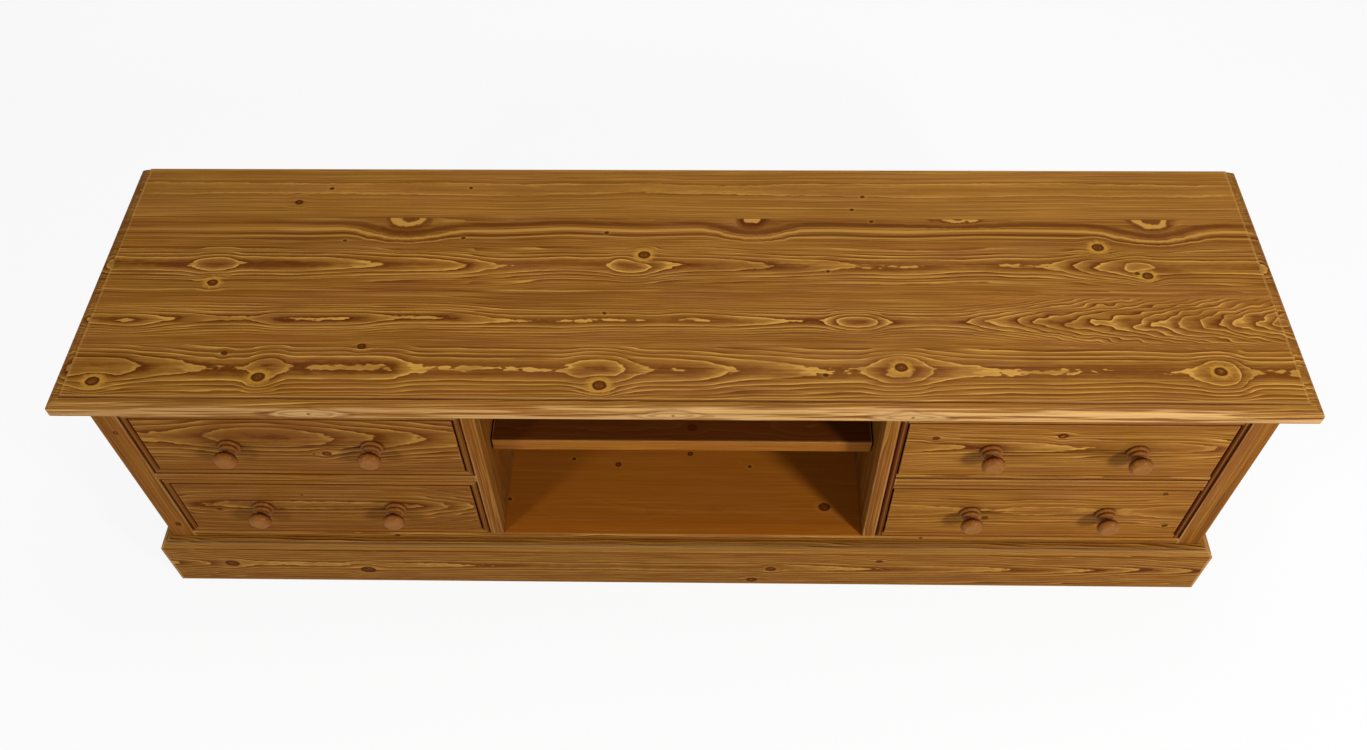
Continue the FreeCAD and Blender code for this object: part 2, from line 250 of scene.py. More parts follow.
# How a board's rings lie and how rough their lines are
boardHabit = {
    "ringWidth": 3.2,      # between growth rings towards the sides of a board
    "depth": 45.0,         # from the face to the heart: small makes narrow middle figures
    "wander": 5.0,         # how far the heart line strays sideways
    "wanderLength": 190.0,
    "sway": 1.6,           # rings that the figure rises and falls where no figure is given
    "swayLength": 150.0,
    "ragged": 0.4,         # rings that the outline of a figure strays
    "contrast": 1.0,
    "lines": 0.5,          # how strong the fine lines at the sides are beside the middle figure
    "tone": 0.3,           # how much single boards differ
    "deepen": 0.0,         # share of the dark colour all over
}
ringShape = {
    "uneven": 1.8,         # rings that wide and narrow years stray
    "torn": 0.36,          # rings that the tip of a figure is torn
    "soft": 0.42,          # share of the slow rise to late wood
    "sharp": 0.58,         # share of the line that ends it
    "lateShare": 1.3,      # how strongly late wood lightens
}
# How knots look and how they bend the rings around them
knotHabit = {
    "squash": 0.8,         # less makes a knot longer along the grain
    "sink": 0.35,          # less makes it go straighter into the board
    "pinRadius": 3.0,      # smaller ones are pin knots that bend no rings
    "haloRadius": 5.0,     # larger ones have a pale halo
    "haloShare": 0.75,
    "push": 0.75,          # how far rings move aside
    "eyePush": 0.8,
    "tint": 0.92,          # shares of the knot's colour, its dark rim and its paler heart
    "rim": 0.8,
    "heart": 0.35,
}
# Noises of the grain: length and width of a patch in millimetres, and their detail
grainNoises = {
    "blotches": (240.0, 60.0, 2.0),
    "ruddy": (150.0, 38.0, 1.5),
    "bands": (300.0, 7.0, 1.0),
    "streaks": (170.0, 3.2, 2.0),
    "fibres": (90.0, 1.6, 2.0),
    "ducts": (11.0, 0.8, 0.0),
}
# What they colour before and after the rings: noise, from, to, colour and share
underRings = [
    ("ruddy", 0.46, 0.66, "ruddy", 0.38),
    ("bands", 0.5, 0.75, "dark", 0.25),
    ("bands", 0.5, 0.25, "light", 0.14),
    ("streaks", 0.52, 0.76, "dark", 0.46),
    ("streaks", 0.47, 0.24, "light", 0.3),
]
overRings = [
    ("fibres", 0.52, 0.8, "dark", 0.42),
    ("fibres", 0.46, 0.2, "light", 0.2),
    ("ducts", 0.68, 0.8, "dark", 0.2),
]
# Strips of beading round an opening: their width and where the painted highlight along their crown lies
beadingStrip = {"width": 11.0, "crownHighlight": 7.0}


def placeBoard(start, plan):
    # Ways along the grain, across it and from the face into the board
    texture = start.node("TexCoord", {}, {}, out=3)
    room = texture.stretch(toMillimetres, toMillimetres, toMillimetres)
    normal = texture.output("Normal").axes()
    along, across, into = [room.axes()["xyz".index(axis)] for axis in plan["axes"]]
    endGrain = normal["xyz".index(plan["axes"][0])].away().smooth(0.55, 0.9)
    upright, toEnd = None, None
    if "turnAt" in plan:  # strips round an opening: upright ones have upright grain
        turn = plan["turnAt"]
        toEnd = (along - turn["middle"]).away() - turn["half"]
        if plan["through"]:
            upright = toEnd > -beadingStrip["width"]
        else:
            upright = toEnd > (across - turn["height"]).away() - turn["halfHeight"]
        along, across = (along + upright * (across - along), across + upright * (along - across))
        endGrain = 0.0
    into = (into - plan["face"]) * plan["inward"]
    return SimpleNamespace(room=room, along=along, across=across, into=into, endGrain=endGrain,
                           lookingUp=normal[2], upright=upright, toEnd=toEnd)


def nearest(known, near):  # the smaller distance, where there may be none yet
    return near if known is None else known.least(near)


def placeKnots(start, board, plan):
    # How near the next knot is, 1 on its rim, and the way across the board bent around knots
    along, across, into = board.along, board.across, board.into
    knots = SimpleNamespace(flow=across, core=None, halo=None, pin=None, flare=None, eyes=[])
    place = start.point(along, across, into)
    knots.warp = place.noise(6, 6, 1.0) - 0.5
    squash, sink = knotHabit["squash"], knotHabit["sink"]
    here = start.point(along * squash + knots.warp * 2.2, across + knots.warp * 1.4, into * sink)
    for alongAt, acrossAt, radius in plan.get("knots", []):
        near = here.distance((alongAt * squash, acrossAt, 0.0)) / radius
        if radius < knotHabit["pinRadius"]:
            knots.pin = nearest(knots.pin, near)
            continue
        knots.core = nearest(knots.core, near)
        if radius > knotHabit["haloRadius"]:
            knots.halo = nearest(knots.halo, near)
        knots.flow = knots.flow - (across - acrossAt) * near.smooth(4.5, 0.3) * knotHabit["push"]
    if "seam" not in plan:
        return knots
    seam = plan["seam"]
    swirl = place.noise(16, 16, 0.5) - 0.5
    knots.below = 1 - (across > seam)
    for alongAt, half, radius, ringKey, coreKey in plan["eyes"]:  # knots cut by the seam
        slim = radius / half
        near = start.point(along * slim + swirl * 14.0, across + knots.warp * 5.0, 0.0).distance(
            (alongAt * slim, seam, 0.0)) / radius
        knots.eyes.append((near, ringKey, coreKey))
        knots.flow = knots.flow - ((across - seam) * near.smooth(4.2, 0.8) * knots.below
                                   * knotHabit["eyePush"])
    for alongAt, acrossAt, depthAt, half, radius in plan["flares"]:  # pale with a dark core
        slim = radius / half
        near = (start.point(along * slim + swirl * 3.0, across, into + swirl * 6.0).distance(
            (alongAt * slim, acrossAt, depthAt)) / radius * 0.5
                + (along - alongAt).away() / half * 0.5)
        knots.flare = nearest(knots.flare, near)
        core = place.distance((alongAt + 3.0, acrossAt, depthAt)) / (radius * 0.5)
        knots.core = nearest(knots.core, core)
    return knots


def levelOf(start, along, figure):
    # The ring that reaches the face over the heart, along the board, from given places
    places = [place for place, level in figure]
    levels = [level for place, level in figure]
    low, high = min(levels), max(levels)
    span = places[-1] - places[0]
    points = [((place - places[0]) / span, (level - low) / (high - low)) for place, level in figure]
    curve = start.node("FloatCurve", {"curve": points}, {"Value": (along - places[0]) / span})
    return curve * (high - low) + low


def swayOf(along, number, habit):
    sway = (along / habit["swayLength"] + number).noiseAlong(2.0)
    return (sway - 0.5) * (2.0 * habit["sway"])


def layBoards(start, board, flow, plan, habit):
    # Distance from the heart line, ring level over it, a number for each board and its habit
    along, across = board.along, board.across
    number = plan["seed"] * 3.1
    if "boards" in plan:
        boards = plan["boards"]
        index = None
        given = {key: boards[0][key] for key in ("heart", "depth", "lines", "contrast")}
        figures = [levelOf(start, along, plank["figure"]) for plank in boards]
        trends = [levelOf(start, along, plank["trend"]) if "trend" in plank else figure
                  for plank, figure in zip(boards, figures)]
        level, trend = figures[0], trends[0]
        for place, (last, plank) in enumerate(zip(boards, boards[1:]), 1):
            past = across > plank["from"]
            index = past if index is None else index + past
            given = {key: past * (plank[key] - last[key]) + value for key, value in given.items()}
            level = level + past * (figures[place] - figures[place - 1])
            trend = trend + past * (trends[place] - trends[place - 1])
        return flow - given["heart"], (trend, level - trend), index, given
    if "boardWidth" in plan:
        width = plan["boardWidth"]
        index = ((across - plan["boardStart"]) / width).floor()
        shift = (index + plan["seed"]).lot()
        middle = (index + 0.5 + (shift - 0.5) * 0.8) * width + plan["boardStart"]
        level = swayOf(along, index * 17.0 + number, habit) + shift * 9.0
        return flow - middle, (level, 0.0), index, habit
    return flow - plan["heart"], (swayOf(along, number, habit), 0.0), None, habit


def growRings(start, board, flow, plan, habit):
    # Late and early wood, and the room in which the grain's noises run
    along, across = board.along, board.across
    aside, (trend, bend), index, own = layBoards(start, board, flow, plan, habit)
    number = plan["seed"] * 7.3 if index is None else index * 31.7 + plan["seed"] * 7.3
    grain = start.point(along, across, board.into + number)
    wander = (along / habit["wanderLength"] + number).noiseAlong(1.0)
    aside = aside + (wander - 0.5) * (2.0 * habit["wander"])

    deep = board.into + own["depth"]
    out = ((aside * aside + deep * deep).root() - own["depth"]) / habit["ringWidth"]
    ragged = (grain.noise(50, 9, 2.0) - 0.5) * habit["ragged"]
    if "waves" in plan:  # a stretch of curly figure
        waves = plan["waves"]
        low, high, soft = waves["low"], waves["high"], waves["soft"]
        inside = (along.smooth(waves["from"], waves["full"]) * across.smooth(low - soft, low + soft)
                  * across.smooth(high + soft, high - soft))
        out = out * (1 - inside * waves["spread"])
        ragged = ragged + (grain.noise(24, 13, 0.6) - 0.5) * inside * waves["rings"]
    years = (out * 0.45 + number).noiseAlong(1.0) - 0.5
    uneven = years * ringShape["uneven"] * out.smooth(0.3, 2.5)
    torn = (grain.noise(13, 5, 1.0) - 0.5) * out.smooth(1.2, 0.1) * ringShape["torn"]
    rings = out + uneven + trend + out.smooth(7.0, 0.8) * bend + ragged + torn

    ring = rings.floor()
    phase = rings - ring  # 0 in spring, 1 in autumn
    strength = out.smooth(7.0, 1.5) * (1 - own["lines"]) + own["lines"]
    patches = grain.noise(80, 12, 1.0).smooth(0.25, 0.6) * 0.65 + 0.35
    late = ((phase.smooth(0.25, 0.95) * ringShape["soft"] + phase.smooth(0.74, 0.93) * ringShape["sharp"])
            * phase.smooth(1.0, 0.98) * ((ring + number).lot() * 0.6 + 0.4) * strength * patches)
    early = (phase.smooth(0.42, 0.0) * phase.smooth(0.0, 0.04)
             * ((ring * 1.7 - number).lot() * 0.65 + 0.35) * strength)
    return SimpleNamespace(late=late, early=early, contrast=own["contrast"], index=index,
                           aside=aside, grain=grain)


def layNoises(shade, look, noises, layers):
    for key, low, high, tint, share in layers:
        shade = shade.mix(look[tint], noises[key].smooth(low, high) * share)
    return shade


def paintGrain(start, look, plan, habit, rings, noises):
    shade = start.blend(look["middle"], look["blotch"], noises["blotches"].smooth(0.36, 0.66))
    if rings.index is not None:
        shade = shade.mix(look["blotch"], (rings.index * 2.3 + plan["seed"]).lot() * habit["tone"])
    shade = layNoises(shade, look, noises, underRings)
    shade = shade.mix(look["dark"], rings.early * rings.contrast)
    shade = shade.mix(look["light"], rings.late * ringShape["lateShare"] * rings.contrast)
    return layNoises(shade, look, noises, overRings)


def paintLines(shade, look, plan, board, rings, noises):
    for at, half, key, share in plan.get("streaks", []):  # lines along the whole board
        shade = shade.mix(look[key], rings.aside.line(at, half)
                          * (noises["blotches"].smooth(0.3, 0.55) * 0.6 + 0.4) * share)
    for low, high, key, share in plan.get("washes", []):
        shade = shade.mix(look[key], board.across.smooth(low, high) * share)
    if "tint" in plan:  # one colour over the whole piece
        key, share = plan["tint"]
        shade = shade.mix(look[key], share)
    for at, half, key, share in plan.get("edgeLines", []):  # along a moulded edge of a board
        shade = shade.mix(look[key], board.across.line(at, half)
                          * (noises["bands"].smooth(0.25, 0.6) * 0.6 + 0.4) * share)
    return shade


def paintKnots(shade, look, plan, board, knots, rings, noises):
    for near, ringKey, coreKey in knots.eyes:
        shade = shade.mix(look["dark"], near.smooth(1.6, 1.15) * knots.below * 0.7)
        shade = shade.mix(look[ringKey], near.smooth(1.12, 0.9) * knots.below * 0.85)
        shade = shade.mix(look[coreKey], near.smooth(0.62, 0.45) * knots.below * 0.85)
    if "seam" in plan:
        seam = (board.across - plan["seam"]).away().smooth(1.4, 0.4)
        shade = shade.mix(look["dark"], seam * noises["bands"].smooth(0.4, 0.6) * 0.5)
    if knots.halo is not None:
        rays = rings.grain.noise(5, 5, 1.0) - 0.5
        halo = (knots.halo + rays * 1.2).smooth(2.5, 1.2)
        shade = shade.mix(look["halo"], halo * plan.get("haloShare", knotHabit["haloShare"]))
    if knots.core is not None:
        rim = knots.core.smooth(1.25, 1.0) * knots.core.smooth(0.65, 0.95)
        heart = knots.core.smooth(0.7, 0.2) * (knots.warp + 0.5).smooth(0.45, 0.7)
        shade = shade.mix(look["knot"], knots.core.smooth(1.15, 0.8) * knotHabit["tint"])
        shade = shade.mix(look["knotCore"], rim * knotHabit["rim"])
        shade = shade.mix(look["halo"], heart * knotHabit["heart"])
    if knots.pin is not None:
        shade = shade.mix(look["halo"], knots.pin.smooth(2.6, 1.2) * 0.22)
        shade = shade.mix(look["knotCore"], knots.pin.smooth(1.4, 0.7) * 0.85)
    return shade


def paintStainShadeAndHighlight(shade, look, plan, habit, board, rings):
    if habit["deepen"]:
        shade = shade.mix(look["dark"], habit["deepen"])
    if board.upright is not None:  # dark stained strips with a painted highlight along their crown
        crownHighlight = (board.toEnd + beadingStrip["crownHighlight"]).away().smooth(1.5, 0.5)
        shade = shade.mix(look["stain"], board.upright * plan["stainUpright"])
        shade = shade.mix(look["middle"], crownHighlight * board.upright * 0.6)
    if "above" in plan:  # a face that looks up gets another colour: painted shadow on the shelf, the bay floor's amber on the bottom rail
        key, share = plan["above"]
        shade = shade.mix(look[key], board.lookingUp.smooth(0.6, 0.9) * share)
    for at, half, share in plan.get("grooves", []):  # darkening in turned grooves and on the back of a knob's head: partly stain, partly painted shade
        shade = shade.mix(look["crevice"], board.along.line(at, half) * share)
    return shade.mix(look["end"], board.endGrain * (0.7 - rings.late * 0.3))


def paintMould(shade, look, mould, board, rings, noises):
    # A moulded edge: stain stays on its end grain, the plan's lines run along it, and its nose is paled as
    # wear and as painted highlight, more towards the right end
    edge = mould["edge"]
    x, y = board.room.axes()[:2]
    fromFront = y - edge["y"]
    fromEnd = (x + edge["x"]).least(edge["x"] - x)
    fromEdge = fromFront.least(fromEnd)
    endward = (fromFront - fromEnd).smooth(0.0, 2.0)
    onEnd = endward * fromEnd.smooth(*mould["endStrip"])
    lenses = rings.grain.noise(130, 4.5, 1.0).smooth(0.42, 0.58)
    paler = board.along.smooth(*mould["paler"]) * 0.4 + 0.55
    nose = fromEdge.smooth(*mould["nose"]) * (1 - onEnd * 0.9)
    broken = noises["bands"].smooth(0.25, 0.6)
    shade = shade.mix(look["end"], onEnd * (1 - board.endGrain) * mould["endShare"])
    shade = shade.mix(look["paleWearAndHighlight"], nose * (lenses * 0.72 + rings.late * 0.35 + 0.03) * paler)
    shade = shade.mix(look["dark"], nose * noises["fibres"].smooth(0.5, 0.72) * 0.32)
    for at, half, key, share in mould["lines"]:
        shade = shade.mix(look[key], fromEdge.line(at, half) * (broken * share) * (1 - endward * 0.45))
    return shade


def paintFlares(shade, look, knots, noises):
    # Pale lens shapes on the nose with a dark rim and a small knot
    flare = knots.flare
    shade = shade.mix(look["dark"], flare.smooth(1.35, 1.0) * 0.4)
    shade = shade.mix(look["paleWearAndHighlight"], flare.smooth(1.05, 0.75) * (noises["fibres"] * 0.6 + 0.35))
    shade = shade.mix(look["dark"], flare.smooth(0.4, 0.55) * flare.smooth(0.75, 0.6) * 0.4)
    return shade.mix(look["knot"], knots.core.smooth(1.2, 0.8) * flare.smooth(1.0, 0.8) * 0.6)


def makeWood(name, look, plan):
    material, start = startMaterial(name)
    habit = {**boardHabit, **plan.get("habit", {})}
    board = placeBoard(start, plan)
    knots = placeKnots(start, board, plan)
    rings = growRings(start, board, knots.flow, plan, habit)
    noises = {key: rings.grain.noise(*size) for key, size in grainNoises.items()}

    shade = paintGrain(start, look, plan, habit, rings, noises)
    shade = paintLines(shade, look, plan, board, rings, noises)
    shade = paintKnots(shade, look, plan, board, knots, rings, noises)
    shade = paintStainShadeAndHighlight(shade, look, plan, habit, board, rings)
    # Outer edges near the face are paled: partly wear, partly painted highlight
    nearFace = board.into.smooth(14.0, 8.0)
    paleWearAndHighlight = arrises(start, look["paleEdgeReach"]) * noises["blotches"].smooth(0.25, 0.55)
    shade = shade.mix(look["paleWearAndHighlight"], paleWearAndHighlight * look["paleEdgeShare"] * nearFace)
    if "mould" in plan:
        shade = paintMould(shade, look, plan["mould"], board, rings, noises)
    if knots.flare is not None:
        shade = paintFlares(shade, look, knots, noises)
    # Quirks and gaps are darkened: partly stain, partly painted shade
    shade = shade.mix(look["crevice"], crevices(start, look["creviceReach"]) * look["creviceShare"])

    height = (rings.late * 0.5 + noises["fibres"] * 0.35
              - noises["ducts"].smooth(0.68, 0.8) * 0.25)
    if knots.core is not None:
        height = height + knots.core.smooth(1.15, 0.8) * 0.5
    roughness = (rings.early * 0.08 - rings.late * 0.05 + (noises["blotches"] - 0.5) * 0.12
                 + board.endGrain * 0.15 + look["roughness"])
    endMaterial(start, shade, roughness, height, look["bump"], plan.get("shine", look["shine"]))
    return material


# Plywood drawer bottoms: smooth pale faces, plies that show at the edges
plywood = {
    "face": colour(206, 178, 134),
    "streak": colour(186, 152, 104),
    "ply": colour(158, 118, 74),
    "plyThickness": 1.2,
    "roughness": 0.6,
    "bump": {"strength": 0.2, "distance": 0.0002},
    "shine": {"Specular IOR Level": 0.3},
}


def makePlywood(name, low):
    material, start = startMaterial(name)
    texture = start.node("TexCoord", {}, {}, out=3)
    room = texture.stretch(toMillimetres, toMillimetres, toMillimetres)
    edge = texture.output("Normal").axes()[2].away().smooth(0.9, 0.5)
    pairs = (room.axes()[2] - low * toMillimetres) / (2 * plywood["plyThickness"])
    plies = (pairs - pairs.floor()) > 0.5  # every second ply has its grain across
    streaks = room.noise(120, 9, 3.0)
    fibres = room.noise(14, 0.7, 1.0)
    shade = start.blend(plywood["face"], plywood["streak"], streaks.smooth(0.4, 0.7))
    shade = shade.mix(plywood["streak"], fibres.smooth(0.6, 0.8) * 0.5)
    shade = shade.mix(plywood["ply"], plies * edge * 0.8)
    endMaterial(start, shade, streaks * 0.1 + plywood["roughness"], fibres, plywood["bump"],
                plywood["shine"])
    return material


# Turned brass pins and zinc plated screws
metals = {
    "pin_brass": {"shade": colour(196, 158, 84), "tarnish": colour(126, 88, 38), "roughness": 0.3},
    "screw_steel": {"shade": colour(190, 190, 186), "tarnish": colour(122, 122, 122), "roughness": 0.34},
}
metalBump = {"strength": 0.2, "distance": 0.0001}


def makeMetal(name, look):
    material, start = startMaterial(name)
    room = start.node("TexCoord", {}, {}, out=3).stretch(toMillimetres, toMillimetres, toMillimetres)
    spots = room.noise(4, 4, 3.0)
    turning = room.noise(0.4, 6, 1.0)
    shade = start.blend(look["shade"], look["tarnish"], spots.smooth(0.5, 0.75))
    shade = shade.mix(look["tarnish"], crevices(start, 0.003) * 0.7)
    endMaterial(start, shade, spots * 0.2 + turning * 0.1 + look["roughness"], turning, metalBump,
                {"Metallic": 1.0})
    return material


# The top board: four planks side by side, with the figures and knots of each
topPlan = {
    "axes": "xyz", "side": "high", "shine": {"Specular IOR Level": 0.05},
    "boards": [
        {"from": -214.0, "heart": -151.0, "depth": 50.0, "lines": 0.75, "contrast": 1.15, "figure": [
            (-800, -0.7), (-740, -0.7), (-696, 0.0), (-650, 0.6), (-605, 1.0), (-575, 1.05),
            (-559, 1.0), (-530, 0.2), (-499, 1.0), (-475, 1.0), (-400, 0.93), (-374, 1.0),
            (-335, 1.9), (-270, 1.98), (-200, 1.97), (-155, 2.0), (-110, 1.2), (-72, 2.0),
            (-31, 3.0), (0, 3.05), (71, 4.0), (140, 4.6), (175, 4.92), (215, 5.0), (227, 5.0),
            (275, 3.9), (325, 5.0), (400, 5.9), (495, 5.96), (637, 6.0), (685, 5.2), (711, 6.0),
            (736, 7.0), (770, 7.0), (800, 6.0)],
            "trend": [(-800, -0.7), (-400, 1.0), (0, 3.0), (400, 5.4), (800, 6.6)]},
        {"from": -113.5, "heart": -69.0, "depth": 15.0, "lines": 0.3, "contrast": 1.15, "figure": [
            (-800, 0.4), (-744, 0.0), (-735, -0.05), (-726, 0.0), (-674, 1.0), (-577, 1.85),
            (-529, 1.0), (-500, 0.95), (-474, 0.98), (-465, 1.04), (-457, 0.98), (-440, 1.0),
            (-375, 1.93), (-317, 2.0), (-225, 2.95), (-145, 2.97), (-62, 3.0), (-30, 3.2),
            (0, 2.96), (34, 3.0), (100, 3.5), (156, 4.0), (180, 4.0), (232, 2.2), (277, 4.0),
            (340, 4.4), (402, 3.0), (440, 2.0), (465, 1.0), (500, 0.0), (560, -1.3), (610, -2.6),
            (660, -4.4), (710, -6.4), (760, -8.4), (800, -10.0)],
            "trend": [(-800, 0.4), (-300, 2.0), (100, 3.5), (350, 3.6), (560, -1.3), (800, -10.0)]},
        {"from": -16.5, "heart": 29.0, "depth": 28.0, "lines": 0.35, "contrast": 1.1, "figure": [
            (-800, 0.0), (-760, 0.15), (-681, 0.0), (-640, -0.8), (-604, 0.0), (-520, 0.1),
            (-413, 1.0), (-350, 1.3), (-294, 2.0), (-239, 3.0), (-150, 3.2), (-104, 3.0),
            (-75, 2.2), (-42, 3.0), (-6, 4.0), (60, 4.4), (126, 5.0), (200, 5.5), (240, 5.95),
            (315, 5.98), (400, 6.3), (450, 5.96), (477, 6.0), (531, 5.0), (560, 4.0), (600, 3.0),
            (620, 2.5), (642, 3.0), (700, 3.3), (800, 3.0)],
            "trend": [(-800, 0.0), (-500, 0.2), (-150, 3.0), (250, 5.6), (480, 5.2), (800, 3.0)]},
        {"from": 117.8, "heart": 176.0, "depth": 45.0, "lines": 0.75, "contrast": 0.56, "figure": [
            (-800, 0.2), (-500, 0.6), (-330, 0.45), (0, 0.7), (300, 0.4), (800, 0.6)]},
    ],
    "waves": {"from": 330, "full": 560, "low": -110, "high": -20, "soft": 9, "spread": 0.45,
              "rings": 1.9},
    "streaks": [(78.0, 6.0, "dark", 0.75), (66.0, 4.0, "light", 0.65), (57.5, 3.0, "dark", 0.8),
                (53.0, 1.8, "light", 0.55), (47.5, 2.0, "dark", 0.4)],
    "washes": [(112.0, 123.0, "light", 0.12)],
    "knots": [
        (-749, -174, 6.6), (-538, -166, 6.6), (-591, -128, 3.0), (-414, -115, 4.2),
        (-101, -176, 6.8), (186, -158, 2.8), (283, -145, 6.2), (686, -149, 6.2),
        (-101, -57, 2.4), (-637, -6, 5.4), (-471, 73, 2.2), (-306, 79, 2.4),
        (-106, 90, 2.6), (-52, 48, 6.2), (199, 19, 2.2), (572, 65, 6.2),
        (629, 13, 5.6), (616, 17, 2.6), (265, 113, 2.4),
        (-551, 148, 4.2), (-509, 176, 2.7), (-307, 178, 2.5),
        (256, 162, 2.6), (239, 136, 2.4)],
    "eyes": [(-387, 24, 17, "eye", "knot"), (98, 19, 15, "knot", "eye"), (655, 24, 17, "eye", "knot"),
             (385, 26, 6, "eye", "dark")],
    "seam": 117.8,
    "flares": [(-470, -213, 14, 56, 5.0), (-10, -213, 13, 46, 4.6), (290, -213, 14, 50, 5.0)],
    # Lines along the nose: a dark one in the quirk, partly stain and partly painted shade, and a pale one
    # beside it that is painted highlight
    "mould": {"nose": (8.5, 5.5), "paler": (-900.0, 300.0), "endStrip": (9.0, 7.0), "endShare": 0.35,
              "lines": [(15.2, 1.0, "stain", 0.6), (17.3, 1.0, "light", 0.6)]},
}

# The drawer fronts, each one plank with its own figure
frontHabit = {"ringWidth": 3.4, "wander": 3.0}
frontPlans = {
    # The left fronts are deepened more than the right ones: partly their own tone, partly painted shade for
    # the weaker light on the left
    "upper_left": {
        "habit": {**frontHabit, "deepen": 0.38}, "knots": [(-482, 334, 5.0), (-500, 333, 1.6)],
        "boards": [{"heart": 372.0, "depth": 90.0, "lines": 0.4, "contrast": 1.3, "figure": [
            (-730, 1.85), (-680, 1.6), (-637, 1.0), (-600, 0.4), (-550, 0.2), (-500, 0.5),
            (-465, 1.0), (-430, 1.6), (-408, 2.0), (-350, 2.9), (-295, 3.6)]}]},
    "lower_left": {
        "habit": {**frontHabit, "deepen": 0.4}, "knots": [(-677, 185, 3.0), (-545, 226, 1.8)],
        "boards": [{"heart": 198.0, "depth": 40.0, "lines": 0.45, "contrast": 1.4, "figure": [
            (-730, 2.0), (-697, 1.0), (-650, 0.75), (-550, 0.6), (-450, 0.7), (-385, 1.0),
            (-355, 1.6), (-337, 2.0), (-295, 3.2)]}]},
    "upper_right": {
        "habit": {**frontHabit, "deepen": 0.08}, "knots": [(503, 388, 5.0), (338, 381, 3.6)],
        "boards": [{"heart": 360.0, "depth": 30.0, "lines": 0.4, "contrast": 1.15, "figure": [
            (295, 0.2), (380, 1.0), (460, 1.4), (540, 2.0), (600, 2.35), (640, 2.3), (712, 3.0),
            (730, 3.3)]}]},
    "lower_right": {
        "habit": frontHabit, "knots": [(440, 177, 3.6), (705, 158, 3.4), (680, 246, 3.0)],
        "boards": [{"heart": 196.0, "depth": 60.0, "lines": 0.45, "contrast": 0.85, "figure": [
            (295, 0.3), (400, 0.8), (440, 1.0), (500, 0.7), (620, 0.85), (690, 0.4),
            (730, 0.2)]}]},
}
